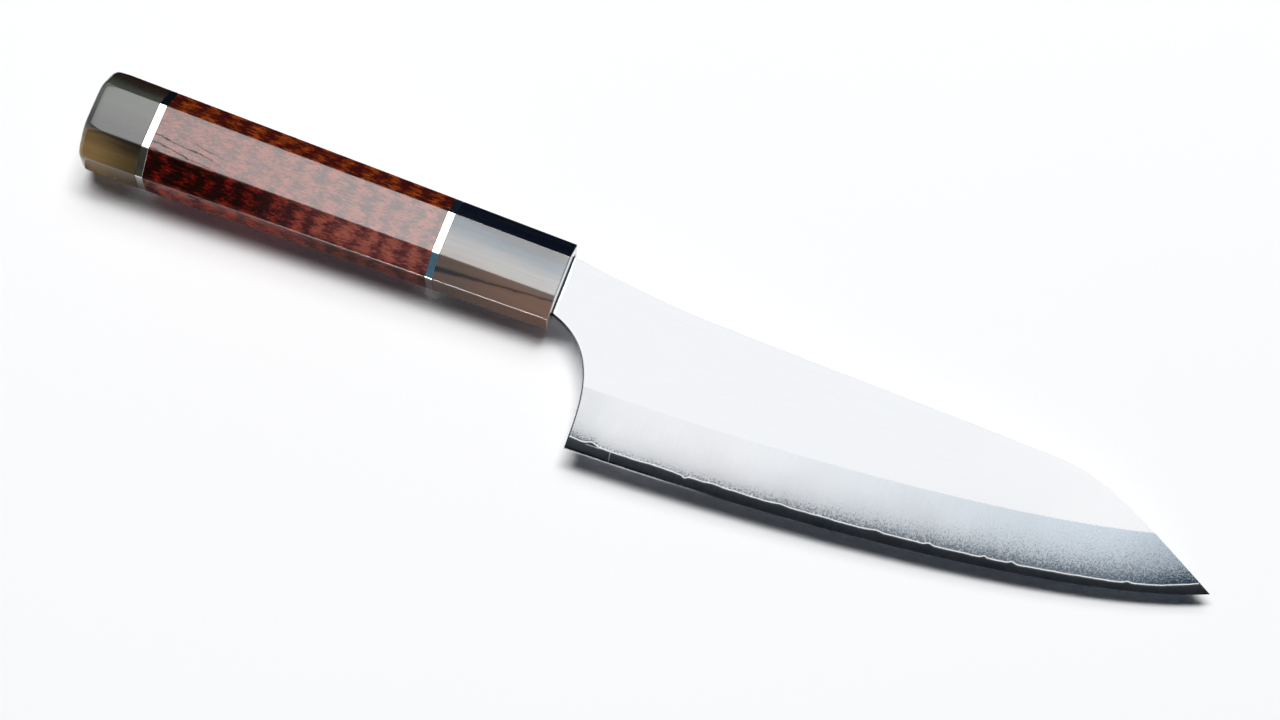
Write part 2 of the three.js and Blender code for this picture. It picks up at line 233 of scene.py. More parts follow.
# Sizes that follow
BORE_RADIUS = DOWEL_DIAMETER / 2 + GLUE_LINE
TANG_ROOT_HEIGHT = DOWEL_DIAMETER - 2 * TANG_COVER
HEEL_FLAT_THICKNESS = NECK_THICKNESS + (TIP_THICKNESS - NECK_THICKNESS) * HEEL_REACH / TIP_REACH
HEIGHT_TAPER = (HEEL_FLAT_THICKNESS - SHOULDER_THICKNESS) / (HEEL_DROP - BEVEL_HEEL_HEIGHT)
LAYING_ANGLE = math.atan2((BUTT_WIDTH - FACE_WIDTH) / 2, -BUTT_END)
LAYING = np.array(Matrix.Rotation(LAYING_ANGLE, 3, "Y"))


def seat():
    """Where the knife's own origin lies in the frame: the front spacer's box is centred on the handle's
    axis, halfway along the spacer, so its centre less that point's laid place is the origin."""
    low, high = (np.array(corner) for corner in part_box("front_spacer"))
    middle = np.array([(FERRULE_REAR + GRIP_FRONT) / 2, 0, 0])
    return (low + high) / 2 - LAYING @ middle * METRE


SEAT = seat()


def placed(points):
    """Points of the knife's own frame, in the frame's metres: turned by the laying angle, then moved."""
    return points @ LAYING.T * METRE + SEAT


def lerp(start, end, share):
    """The value that lies a share of the way from start to end."""
    return start + (end - start) * share


def heading(degrees):
    """The unit direction in the blade's plane at an angle above +X."""
    angle = math.radians(degrees)
    return np.array([math.cos(angle), math.sin(angle)])


def pulled_curve(start, start_heading, start_pull, end, end_heading, end_pull):
    """Points of the cubic curve from A to B that leaves and arrives on given headings:
    (1-t)^3 A + 3(1-t)^2 t (A + pull of A) + 3(1-t) t^2 (B - pull of B) + t^3 B."""
    a = np.array(start, float)
    b = np.array(end, float)
    a_pulled = a + start_pull * heading(start_heading)
    b_pulled = b - end_pull * heading(end_heading)
    t = np.linspace(0, 1, CURVE_SAMPLES)[:, None]
    s = 1 - t
    return s**3 * a + 3 * s * s * t * a_pulled + 3 * s * t * t * b_pulled + t**3 * b


NECK = (0, NECK_TOP)
NECK_FOOT = (0, -NECK_DROP)
BEND = (BEND_REACH, BEND_HEIGHT)
TIP = (TIP_REACH, -TIP_DROP)
HEEL = (HEEL_REACH, -HEEL_DROP)
SPINE = pulled_curve(NECK, SPINE_NECK_HEADING, SPINE_NECK_PULL, BEND, SPINE_BEND_HEADING, SPINE_BEND_PULL)
POINT = pulled_curve(BEND, SPINE_BEND_HEADING, POINT_BEND_PULL, TIP, POINT_TIP_HEADING, POINT_TIP_PULL)
EDGE = pulled_curve(HEEL, EDGE_HEEL_HEADING, EDGE_HEEL_PULL, TIP, EDGE_TIP_HEADING, EDGE_TIP_PULL)
CHOIL = pulled_curve(
    HEEL, CHOIL_HEEL_HEADING, CHOIL_HEEL_PULL, NECK_FOOT, CHOIL_NECK_HEADING, CHOIL_NECK_PULL
)


def edge_height(x):
    """The cutting edge's Y at X, carried on straight behind the heel."""
    behind = -HEEL_DROP + (x - HEEL_REACH) * math.tan(math.radians(EDGE_HEEL_HEADING))
    return np.where(x < HEEL_REACH, behind, np.interp(x, EDGE[:, 0], EDGE[:, 1]))


def top_height(x):
    """The spine's Y at X, from the tang's end to the tip."""
    tang = np.array([(TANG_END, TANG_END_HEIGHT / 2), (DOWEL_FRONT, TANG_ROOT_HEIGHT / 2)])
    line = np.concatenate([tang, SPINE, POINT[1:]])
    return np.interp(x, line[:, 0], line[:, 1])


def bottom_height(x):
    """The lowest Y of the blade at X: the tang's underside, then the choil, then the edge."""
    tang = np.array([(TANG_END, -TANG_END_HEIGHT / 2), (DOWEL_FRONT, -TANG_ROOT_HEIGHT / 2)])
    line = np.concatenate([tang, CHOIL[::-1]])
    return np.where(x < HEEL_REACH, np.interp(x, line[:, 0], line[:, 1]), edge_height(x))


def flat_half(x, y):
    """Half the thickness between the flat sides: it thins to the tip, to the tang's end and to the edge."""
    tang = lerp(NECK_THICKNESS, TANG_END_THICKNESS, x / TANG_END)
    blade = lerp(NECK_THICKNESS, TIP_THICKNESS, x / TIP_REACH)
    return (np.where(x < 0, tang, blade) + HEIGHT_TAPER * y) / 2


def bevel_height(x):
    """The bevel's height above the edge at X: it comes down a little towards the tip."""
    return lerp(BEVEL_HEEL_HEIGHT, BEVEL_TIP_HEIGHT, (x - HEEL_REACH) / (TIP_REACH - HEEL_REACH))


def bevel_half(x, rise):
    """Half the thickness of the bevel at a rise above the edge: from the edge's land to the shoulder, by
    the share s of the bevel's height swollen to s (1 + swell (1 - s))."""
    shoulder = flat_half(x, edge_height(x) + bevel_height(x))
    share = rise / bevel_height(x)
    return lerp(EDGE_LAND / 2, shoulder, share * (1 + BEVEL_SWELL * (1 - share)))


def side_half(x, y):
    """Half the blade's thickness at X and Y: the flat above the shoulder, the bevel below it."""
    rise = y - edge_height(x)
    return np.where(rise > bevel_height(x), flat_half(x, y), bevel_half(x, np.maximum(rise, 0)))


def line_rise(x, side):
    """The lamination line's rise above the edge at X: a slope from heel to fore end, a climb to the tip,
    the kinks as bell curves, and a waver of sines whose phases differ on the two sides."""
    slope = lerp(LINE_HEEL_RISE, LINE_FORE_RISE, x / LINE_FORE_REACH)
    climb = np.clip((x - LINE_FORE_REACH) / (TIP_REACH - LINE_FORE_REACH), 0, 1) ** 1.5
    rise = slope + (LINE_TIP_RISE - LINE_FORE_RISE) * climb
    for place, height, width in LINE_KINKS:
        centre = np.where(np.asarray(side) > 0, place, TIP_REACH - place)
        rise = rise + height * np.exp(-(((x - centre) / width) ** 2))
    for period, share in LINE_SINES:
        rise = rise + LINE_WAVER * share * np.sin(2 * math.pi * x / period + side * period)
    return rise


def stations():
    """Places along X of the blade's sections: the tang, the choil by its own curve, and the edge."""
    tang = np.linspace(TANG_END, 0, TANG_STATIONS + 1)[:-1]
    neck = CHOIL[:: -(CURVE_SAMPLES // NECK_STATIONS), 0]
    blade = np.linspace(HEEL_REACH, TIP_REACH - TIP_ROUND, BLADE_STATIONS + 1)
    return np.concatenate([tang, neck, blade])


def section_loops(x, rows):
    """Loops of points from rows of (y, z) pairs: one loop a station, one point a row."""
    y = np.stack([np.broadcast_to(row[0], x.shape) for row in rows], axis=1)
    z = np.stack([np.broadcast_to(row[1], x.shape) for row in rows], axis=1)
    return np.stack([np.broadcast_to(x[:, None], y.shape), y, z], axis=2)


def cladding_loops(side):
    """A cladding's sections: up its outer side in rows from the lamination line or the choil to the
    shoulder and on to the spine, round the spine's arris, and down the weld. A low ridge marks the line."""
    x = stations()
    x = x[edge_height(x) + line_rise(x, side) < top_height(x) - ARRIS_RADIUS]
    rise = line_rise(x, side)
    line = edge_height(x) + rise
    bottom = np.maximum(bottom_height(x), line)
    top = top_height(x)
    tall = top - bottom
    arris = np.minimum(ARRIS_RADIUS, tall * 0.2)
    on_choil = np.clip((bottom - line) / ARRIS_RADIUS, 0, 1)
    shoulder = np.clip(edge_height(x) + bevel_height(x), bottom + 0.06 * tall, top - arris - 0.03 * tall)
    weld = bevel_half(x, rise) + WELD_GAP
    rows = []
    for offset in LINE_ROWS:
        y = bottom + np.minimum(offset, 0.04 * tall * (offset / LINE_ROWS[-1]))
        z = np.maximum(side_half(x, y), weld + WELD_GAP)
        drop = arris * on_choil * (1 - np.sqrt(np.clip(1 - (1 - (y - bottom) / arris) ** 2, 0, 1)))
        drop = np.where(y - bottom < arris, drop, 0)
        ridge = LINE_RIDGE * (1 - on_choil) * np.exp(-(((y - bottom) / LINE_WIDTH - 0.5) * 2.2) ** 2)
        rows.append((y, z - drop + ridge))
    start = rows[-1][0]
    crisp = np.minimum(SHOULDER_CRISP, 0.01 * tall)
    for share in np.linspace(0, 1, BEVEL_ROWS + 1)[1:]:
        y = lerp(start, shoulder - crisp, share)
        rows.append((y, side_half(x, y)))
    rows.append((shoulder, side_half(x, shoulder)))
    for share in np.linspace(0, 1, FLAT_ROWS + 1):
        y = lerp(shoulder + crisp, top - arris, share)
        rows.append((y, side_half(x, y)))
    outer = side_half(x, top - arris)
    round_off = np.minimum(arris, (outer - weld) * 0.6)
    for turn in np.linspace(0, math.pi / 2, ARRIS_STEPS + 1)[1:]:
        rows.append((top - arris * (1 - math.sin(turn)), outer - round_off * (1 - math.cos(turn))))
    rows.append((top, weld))
    rows.append((bottom, weld))
    loops = section_loops(x, rows)
    loops[:, :, 2] *= side
    return loops


def core_loops():
    """The core's sections: from the spine down the right weld to the lamination line, down the bevel to
    the honed edge, and up the same way on the left. The honing dies away forward of the heel."""
    x = stations()
    edge = edge_height(x)
    bottom = bottom_height(x)
    top = top_height(x)
    worn = np.clip((x - HONED_REACH[0]) / (HONED_REACH[1] - HONED_REACH[0]), 0, 1)
    land = lerp(HONED_LAND, EDGE_LAND, worn)
    right_rows = []
    left_rows = []
    for side, rows in ((1, right_rows), (-1, left_rows)):
        rise = line_rise(x, side)
        weld = bevel_half(x, np.minimum(rise, top - edge)) - WELD_GAP
        line = np.clip(edge + rise, bottom + 0.03 * (top - bottom), top)
        rows.append((top, side * weld))
        for share in np.linspace(0, 1, CORE_ROWS + 1) ** 1.5:
            y = lerp(line, bottom, 1 - (1 - share) ** 1.5)
            honed = land + HONED_SLOPE * (y - edge)
            z = np.minimum(np.minimum(bevel_half(x, y - edge), weld), honed)
            rows.append((y, side * z))
    return section_loops(x, right_rows + left_rows[::-1])


def octagon_corners(x, inset):
    """The handle's octagon at each X, its facets moved in: eight (y, z) corners from +Y towards +Z."""
    forward = (x - BUTT_END) / -BUTT_END
    half_height = lerp(BUTT_HEIGHT, FACE_HEIGHT, forward) / 2
    half_width = lerp(BUTT_WIDTH, FACE_WIDTH, forward) / 2
    corner_height = lerp(BUTT_CORNER_HEIGHT, FACE_CORNER_HEIGHT, forward)
    corner_width = lerp(BUTT_CORNER_WIDTH, FACE_CORNER_WIDTH, forward)
    slope = np.hypot(corner_height, corner_width)
    y = half_height - inset
    z = half_width - inset
    side_y = half_height - corner_height - inset * (slope - corner_height) / corner_width
    spine_z = half_width - corner_width - inset * (slope - corner_width) / corner_height
    ys = np.stack([y, side_y, -side_y, -y, -y, -side_y, side_y, y], axis=1)
    zs = np.stack([spine_z, z, z, spine_z, -spine_z, -z, -z, -spine_z], axis=1)
    return np.stack([ys, zs], axis=2)


def handle_rings(x, inset, ridge=RIDGE_RADIUS):
    """Rings of the handle at each X: the octagon with its corners rounded to the ridge radius and its
    facets crowned. A corner's arc runs between its two facets' normals about the point where the facets,
    moved in by the radius, cross."""
    x, inset, ridge = np.broadcast_arrays(*(np.asarray(v, float) for v in (x, inset, ridge)))
    ridge = ridge[:, None, None]
    corners = octagon_corners(x, inset + FACET_CROWN)
    along = np.roll(corners, -1, axis=1) - corners
    along = along / np.linalg.norm(along, axis=2, keepdims=True)
    after = np.stack([along[:, :, 1], -along[:, :, 0]], axis=2)
    before = np.roll(after, 1, axis=1)
    facing = np.sign((after * corners).sum(axis=2, keepdims=True))
    after = after * facing
    before = before * np.roll(facing, 1, axis=1)
    both = before + after
    agreement = (before * after).sum(axis=2, keepdims=True)
    centre = corners - ridge * both / (1 + agreement)
    turn = np.linspace(0, 1, RIDGE_STEPS)[None, None, :, None]
    blended = lerp(before[:, :, None], after[:, :, None], turn)
    blended = blended / np.linalg.norm(blended, axis=3, keepdims=True)
    arcs = centre[:, :, None] + ridge[:, None] * blended
    leave = arcs[:, :, -1:]
    reach = np.roll(arcs, -1, axis=1)[:, :, :1]
    share = np.linspace(0, 1, FACET_STEPS + 2)[1:-1][None, None, :, None]
    crown = FACET_CROWN * 4 * share * (1 - share)
    facets = lerp(leave, reach, share) + crown * after[:, :, None]
    ring = np.concatenate([arcs, facets], axis=2).reshape(len(x), -1, 2)
    return np.concatenate([np.broadcast_to(x[:, None, None], ring.shape[:2] + (1,)), ring], axis=2)


def ring_angles(ring):
    """Each ring point's direction round the handle's axis."""
    return np.arctan2(ring[:, 2], ring[:, 1])


def bore_rings(x, radius, angles):
    """Round rings about the handle's axis at each X, their points in given directions."""
    x = np.asarray(x, float)
    ring = np.stack([np.zeros_like(angles), radius * np.cos(angles), radius * np.sin(angles)], axis=1)
    rings = np.repeat(ring[None], len(x), axis=0)
    rings[:, :, 0] = x[:, None]
    return rings


def slot_rings(x, growth, angles):
    """Rings of the tang slot at each X, grown outwards: in each direction from the slot's middle, the
    nearer of its side wall and its end wall."""
    middle = (NECK_TOP - NECK_DROP) / 2
    half_tall = (NECK_TOP + NECK_DROP) / 2 + SLOT_END_CLEARANCE
    half_wide = NECK_THICKNESS / 2 + SLOT_SIDE_CLEARANCE
    grown = np.asarray(growth, float)[:, None]
    cos, sin = np.cos(angles), np.sin(angles)
    to_end = (half_tall + grown) / np.maximum(np.abs(cos), 1e-6)
    to_side = (half_wide + grown) / np.maximum(np.abs(sin), 1e-6)
    reach = np.minimum(to_end, to_side)
    along = np.broadcast_to(np.asarray(x, float)[:, None], reach.shape)
    return np.stack([along, middle + reach * cos, reach * sin], axis=2)


def eased_block(rear, front):
    """Outer rings of a handle block between two X, its end edges eased."""
    between = np.linspace(rear, front, BLOCK_STATIONS + 2)[1:-1]
    x = [rear, rear + JOINT_EASE, *between, front - JOINT_EASE, front]
    inset = [JOINT_EASE, *[0] * (len(x) - 2), JOINT_EASE]
    return handle_rings(x, inset)


def block_rings(rear, front):
    """A bored handle block: out along its octagon, in over its front face, back along its bore."""
    outer = eased_block(rear + GLUE_LINE / 2, front - GLUE_LINE / 2)
    bore = bore_rings([front - GLUE_LINE / 2, rear + GLUE_LINE / 2], BORE_RADIUS, ring_angles(outer[-1]))
    return np.concatenate([outer, bore])


def ferrule_rings():
    """The ferrule: along its octagon, round its rim, over its face to the slot, down the slot's wall to
    the dowel's bore and back along that."""
    rear = FERRULE_REAR + GLUE_LINE / 2
    turn = np.linspace(0, math.pi / 2, RIM_STEPS + 1)
    body_x = [rear, rear + JOINT_EASE, *np.linspace(rear, -FACE_RIM_RADIUS, FERRULE_STATIONS + 2)[1:-1]]
    body_inset = [JOINT_EASE, *[0] * (len(body_x) - 1)]
    rim_x = -FACE_RIM_RADIUS * (1 - np.sin(turn))
    rim_inset = FACE_RIM_RADIUS * (1 - np.cos(turn))
    outer = handle_rings([*body_x, *rim_x], [*body_inset, *rim_inset])
    angles = ring_angles(outer[-1])
    slot = slot_rings([0, -SLOT_EASE, DOWEL_FRONT], [SLOT_EASE, 0, 0], angles)
    face = lerp(outer[-1], slot[0], np.array(FACE_RINGS)[:, None, None])
    bore = bore_rings([DOWEL_FRONT, rear], BORE_RADIUS, angles)
    return np.concatenate([outer, face, slot, bore])


def butt_cap_rings():
    """The butt cap: out over its crown, round its rim, along its octagon, over its front face and down
    the dowel's bore. The ridges soften towards the butt: their radius grows with the square of the way
    into the soft length."""
    front = CAP_FRONT - GLUE_LINE / 2
    end = BUTT_END + BUTT_CROWN
    turn = np.linspace(math.pi / 2, 0, RIM_STEPS + 1)
    rim_x = end + BUTT_RIM_RADIUS * (1 - np.sin(turn))
    rim_inset = BUTT_RIM_RADIUS * (1 - np.cos(turn))
    body_x = [*np.linspace(rim_x[-1], front, CAP_STATIONS + 2)[1:-1], front - JOINT_EASE, front]
    body_inset = [*[0] * (len(body_x) - 1), JOINT_EASE]
    x = np.array([*rim_x, *body_x])
    softened = np.clip(1 - (x - end) / BUTT_SOFT_LENGTH, 0, 1) ** 2
    ridge = lerp(RIDGE_RADIUS, BUTT_RIDGE_RADIUS, softened)
    outer = handle_rings(x, [*rim_inset, *body_inset], ridge)
    reach = np.linspace(0.06, 1, CROWN_RINGS + 1)[:-1, None, None]
    crown = outer[:1] * np.concatenate([np.ones_like(reach), reach, reach], axis=2)
    crown[:, :, 0] -= BUTT_CROWN * (1 - reach[:, :, 0] ** 2)
    angles = ring_angles(outer[-1])
    bore = bore_rings([front, DOWEL_REAR - GLUE_LINE], BORE_RADIUS, angles)
    return np.concatenate([crown, outer, bore])


def loft(name, loops, joined, values=None):
    """A closed mesh over loops of equally many points: four-sided faces between neighbouring loops. The
    last loop meets the first where joined, and otherwise each end loop closes on its middle point."""
    count, around, _ = loops.shape
    points = loops.reshape(-1, 3)
    here = np.arange(count * around).reshape(count, around)
    beside = np.roll(here, -1, axis=1)
    if joined:
        quads = np.stack([here, beside, np.roll(beside, -1, axis=0), np.roll(here, -1, axis=0)], axis=2)
        fans = np.zeros((0, 3), int)
    else:
        quads = np.stack([here[:-1], beside[:-1], beside[1:], here[1:]], axis=2)
        first, last = len(points), len(points) + 1
        points = np.concatenate([points, loops[[0, -1]].mean(axis=1)])
        start = np.stack([beside[0], here[0], np.full(around, first)], axis=1)
        end = np.stack([here[-1], beside[-1], np.full(around, last)], axis=1)
        fans = np.concatenate([start, end])
    quads = quads.reshape(-1, 4)
    triangles = np.concatenate([quads[:, [0, 1, 2]], quads[:, [0, 2, 3]], fans])
    a, b, c = (points[triangles[:, corner]] for corner in range(3))
    if (a * np.cross(b, c)).sum() < 0:
        quads = quads[:, ::-1]
        fans = fans[:, ::-1]
    corners = np.concatenate([quads.ravel(), fans.ravel()])
    sizes = np.concatenate([np.full(len(quads), 4), np.full(len(fans), 3)])
    mesh = bpy.data.meshes.new(name)
    mesh.vertices.add(len(points))
    mesh.vertices.foreach_set("co", placed(points).astype(np.float32).ravel())
    mesh.loops.add(len(corners))
    mesh.loops.foreach_set("vertex_index", corners.astype(np.int32))
    mesh.polygons.add(len(sizes))
    mesh.polygons.foreach_set("loop_start", (np.cumsum(sizes) - sizes).astype(np.int32))
    mesh.polygons.foreach_set("use_smooth", np.ones(len(sizes), bool))
    mesh.update(calc_edges=True)
    mesh.validate()
    mesh.set_sharp_from_angle(angle=math.radians(SHARP_ANGLE))
    for label, value in (values or {}).items():
        layer = mesh.attributes.new(label, "FLOAT", "POINT")
        layer.data.foreach_set("value", value(points).astype(np.float32))
    piece = bpy.data.objects.new(name, mesh)
    bpy.context.scene.collection.objects.link(piece)
    return piece


def blade_values(side):
    """What the steel's finish follows, in millimetres: the way along the blade, the rise above the edge,
    above the lamination line and above the bevel's shoulder, and the way forward of the choil."""
    def rise(p):
        return p[:, 1] - edge_height(p[:, 0])

    def above(p):
        return rise(p) - line_rise(p[:, 0], np.where(p[:, 2] * side < 0, -side, side))

    def above_shoulder(p):
        return rise(p) - bevel_height(p[:, 0])

    def from_choil(p):
        return p[:, 0] - np.interp(p[:, 1], CHOIL[:, 1], CHOIL[:, 0])

    return {
        "along": lambda p: p[:, 0],
        "rise": rise,
        "above_line": above,
        "above_shoulder": above_shoulder,
        "from_choil": from_choil,
    }


def feed(tree, socket, value):
    """Links an input to another node's socket, or sets it to a plain value."""
    if isinstance(value, bpy.types.NodeSocket):
        tree.links.new(value, socket)
    else:
        socket.default_value = value


def add(tree, kind, inputs=(), **settings):
    """A new shader node with its settings; its inputs are linked to sockets or set to plain values."""
    made = tree.nodes.new("ShaderNode" + kind)
    for label, value in settings.items():
        setattr(made, label, value)
    for label, value in dict(inputs).items():
        feed(tree, made.inputs[label], value)
    return made


def calc(tree, operation, *values):
    """What a Math node makes of its values."""
    return add(tree, "Math", enumerate(values), operation=operation).outputs[0]


def product(tree, first, *others):
    """The product of two or more values."""
    for other in others:
        first = calc(tree, "MULTIPLY", first, other)
    return first


def raised(tree, value, mask, amount):
    """A value raised by an amount of a mask: value + mask x amount."""
    return calc(tree, "MULTIPLY_ADD", mask, amount, value)


def swayed(tree, value, wander, amount):
    """A value moved to either side by noise: value + (noise - 0.5) x amount."""
    return raised(tree, value, calc(tree, "SUBTRACT", wander, 0.5), amount)


def rest(tree, mask):
    """What a mask leaves: 1 less the mask."""
    return calc(tree, "SUBTRACT", 1.0, mask)


def step(tree, value, low, high):
    """A soft step of a value: 0 at low, 1 at high, smooth between."""
    inputs = {"Value": value, "From Min": low, "From Max": high}
    return add(tree, "MapRange", inputs, interpolation_type="SMOOTHSTEP").outputs[0]


def span(tree, value, low, high, to_low, to_high):
    """A value carried from one range to another, held at its ends."""
    inputs = {"Value": value, "From Min": low, "From Max": high, "To Min": to_low, "To Max": to_high}
    return add(tree, "MapRange", inputs).outputs[0]


def band(tree, value, middle, outer, inner):
    """A soft band about a middle value: 1 within the inner half width, 0 beyond the outer one."""
    return step(tree, calc(tree, "ABSOLUTE", calc(tree, "SUBTRACT", value, middle)), outer, inner)


def blend(tree, share, first, second):
    """A colour a share of the way from the first to the second."""
    inputs = {0: share}
    for index, colour in ((6, first), (7, second)):
        inputs[index] = colour if isinstance(colour, bpy.types.NodeSocket) else (*colour, 1)
    return add(tree, "Mix", inputs, data_type="RGBA").outputs[2]


def stretched(tree, point, scale):
    """A point with each axis multiplied by its own number."""
    return add(tree, "VectorMath", {0: point, 1: scale}, operation="MULTIPLY").outputs[0]


def noise(tree, point, scale, detail=2.0, roughness=0.5):
    """Soft noise from about 0.2 to 0.8, its grain one over the scale; a scale may differ by axis."""
    if isinstance(scale, tuple):
        point, scale = stretched(tree, point, scale), 1.0
    inputs = {"Vector": point, "Scale": scale, "Detail": detail, "Roughness": roughness}
    return add(tree, "TexNoise", inputs).outputs[0]


def knife_point(tree):
    """The shaded point in the knife's own frame, in millimetres: the object's point, moved and turned
    back from where the knife lies."""
    inputs = {
        "Vector": add(tree, "TexCoord").outputs["Object"],
        "Location": SEAT,
        "Rotation": (0, LAYING_ANGLE, 0),
        "Scale": (METRE, METRE, METRE),
    }
    return add(tree, "Mapping", inputs, vector_type="TEXTURE").outputs[0]


def measured(tree, label):
    """The value of a piece's own attribute."""
    return add(tree, "Attribute", attribute_name=label).outputs["Fac"]


def group(name, inputs, output, fill):
    """A node group with named sockets; fill makes its nodes and gives the socket of its one output."""
    tree = bpy.data.node_groups.new(name, "ShaderNodeTree")
    for label, kind, value in inputs:
        socket = tree.interface.new_socket(label, in_out="INPUT", socket_type="NodeSocket" + kind)
        if value is not None:
            socket.default_value = value
    tree.interface.new_socket(output, in_out="OUTPUT", socket_type="NodeSocketFloat")
    way_in = tree.nodes.new("NodeGroupInput")
    way_out = tree.nodes.new("NodeGroupOutput")
    tree.links.new(fill(tree, way_in.outputs), way_out.inputs[output])
    return tree


def brush_lines(tree, given):
    """Hairlines of a brushed or stoned surface: fine noise drawn out along the strokes."""
    drawn = stretched(tree, given["Point"], given["Lines per mm"])
    return step(tree, noise(tree, drawn, 1.0, 3.0, 0.65), 0.25, 0.75)


def hand_smudges(tree, given):
    """Roughness that drifts between two values in soft patches, with fine specks on top."""
    patches = noise(tree, given["Point"], given["Patches per mm"], 3.0)
    drift = step(tree, patches, 0.3, 0.7)
    fine = noise(tree, given["Point"], 4.0, 1.0)
    mixed = raised(tree, product(tree, drift, 0.75), fine, 0.25)
    return span(tree, mixed, 0.0, 1.0, given["Least"], given["Most"])


def long_streaks(tree, given):
    """Growth streaks: noise drawn out along the grain and bent by slower noise, as a mask."""
    bend = noise(tree, given["Point"], given["Bends per mm"], 1.0)
    inputs = {0: bend, 1: given["Sway"], 2: given["Point"]}
    bent = add(tree, "VectorMath", inputs, operation="MULTIPLY_ADD").outputs[0]
    drawn = stretched(tree, bent, given["Streaks per mm"])
    return step(tree, noise(tree, drawn, 1.0, 4.0, 0.6), given["Low"], given["High"])


def specks(tree, given):
    """Small specks: the cells of a fine pattern that lie under a share."""
    inputs = {"Vector": stretched(tree, given["Point"], given["Specks per mm"]), "Scale": 1.0}
    cells = add(tree, "TexVoronoi", inputs).outputs
    tone = add(tree, "SeparateColor", {0: cells["Color"]}).outputs[0]
    near = step(tree, cells["Distance"], 0.55, 0.2)
    return product(tree, near, calc(tree, "LESS_THAN", tone, given["Share"]))


POINT_INPUT = ("Point", "Vector", None)
BRUSH_LINES = group(
    "brush_lines",
    (POINT_INPUT, ("Lines per mm", "Vector", (1, 1, 1))),
    "Lines",
    brush_lines,
)
HAND_SMUDGES = group(
    "hand_smudges",
    (POINT_INPUT, ("Patches per mm", "Float", 0.1), ("Least", "Float", 0.1), ("Most", "Float", 0.2)),
    "Roughness",
    hand_smudges,
)
LONG_STREAKS = group(
    "long_streaks",
    (
        POINT_INPUT,
        ("Streaks per mm", "Vector", (1, 1, 1)),
        ("Bends per mm", "Float", 0.1),
        ("Sway", "Vector", (0, 0, 0)),
        ("Low", "Float", 0.4),
        ("High", "Float", 0.6),
    ),
    "Streaks",
    long_streaks,
)
SPECKS = group(
    "specks",
    (POINT_INPUT, ("Specks per mm", "Vector", (1, 1, 1)), ("Share", "Float", 0.3)),
    "Specks",
    specks,
)


def use(tree, made_group, **inputs):
    """A group placed in a material: its one output, with the inputs linked or set. Underscores in an
    input's name stand for spaces."""
    placed_group = add(tree, "Group", node_tree=made_group)
    for label, value in inputs.items():
        feed(tree, placed_group.inputs[label.replace("_", " ")], value)
    return placed_group.outputs[0]


def brushed(tree, point, per_mm):
    """The hairlines' mask, with so many lines a millimetre along each axis."""
    return use(tree, BRUSH_LINES, Point=point, Lines_per_mm=per_mm)


def smudged(tree, point, per_mm, least, most):
    """The smudges' roughness, from least to most, with so many patches a millimetre."""
    return use(tree, HAND_SMUDGES, Point=point, Patches_per_mm=per_mm, Least=least, Most=most)


def streaked(tree, point, per_mm, bends, sway, low, high):
    """The streaks' mask: so many a millimetre along each axis, bent by the sway, 0 at low and 1 at high."""
    inputs = {"Streaks_per_mm": per_mm, "Bends_per_mm": bends, "Sway": sway, "Low": low, "High": high}
    return use(tree, LONG_STREAKS, Point=point, **inputs)


def finish(name, fill):
    """A material whose Principled shader's inputs come from fill, as sockets or plain values."""
    material = bpy.data.materials.new(name)
    material.use_nodes = True
    tree = material.node_tree
    shader = tree.nodes["Principled BSDF"]
    for label, value in fill(tree).items():
        feed(tree, shader.inputs[label], value)
    return material


def bump(tree, height, strength, distance):
    """A bumped normal from a height, its full relief given in millimetres."""
    inputs = {"Height": height, "Strength": strength, "Distance": distance * METRE}
    return add(tree, "Bump", inputs).outputs[0]


